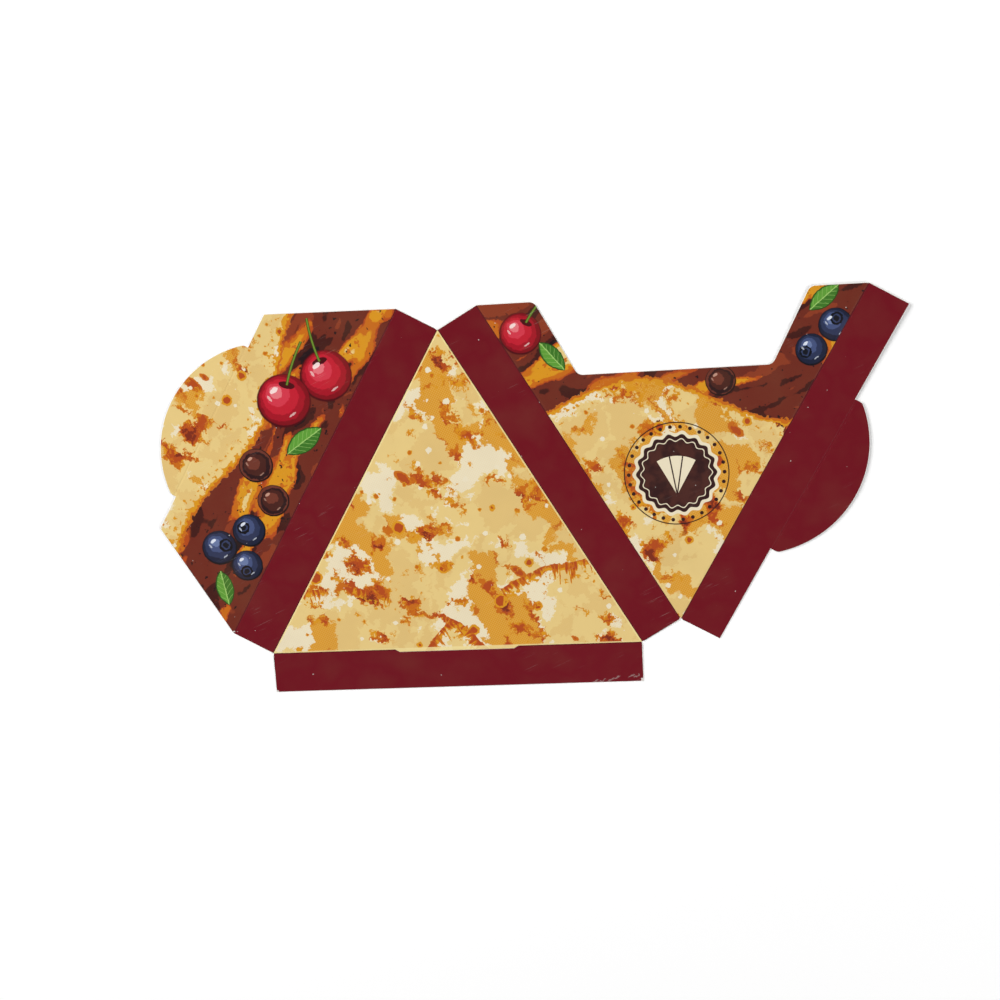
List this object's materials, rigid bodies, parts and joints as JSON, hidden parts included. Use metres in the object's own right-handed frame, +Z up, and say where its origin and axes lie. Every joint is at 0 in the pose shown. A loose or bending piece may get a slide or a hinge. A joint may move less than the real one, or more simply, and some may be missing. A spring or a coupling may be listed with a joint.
{
  "type": "crepe holder",
  "caption": "Flat die-cut card blank of a folding triangular crepe holder, printed on one face, with creased walls, round tuck tabs, a window and a tab slit.",
  "frame": {"origin": "middle of the triangular back panel, on the card's flat underside", "axes": "+X from the side flap to the front panel, +Y from the base wall to the back panel's apex, +Z up through the printed face"},
  "size_m": [0.399, 0.2105, 0.0005],
  "materials": {
    "printed_card": "glossy print on top, bare white board below"
  },
  "bodies": {
    "root": {"holder_blank": "printed_card"}
  },
  "joints": []
}
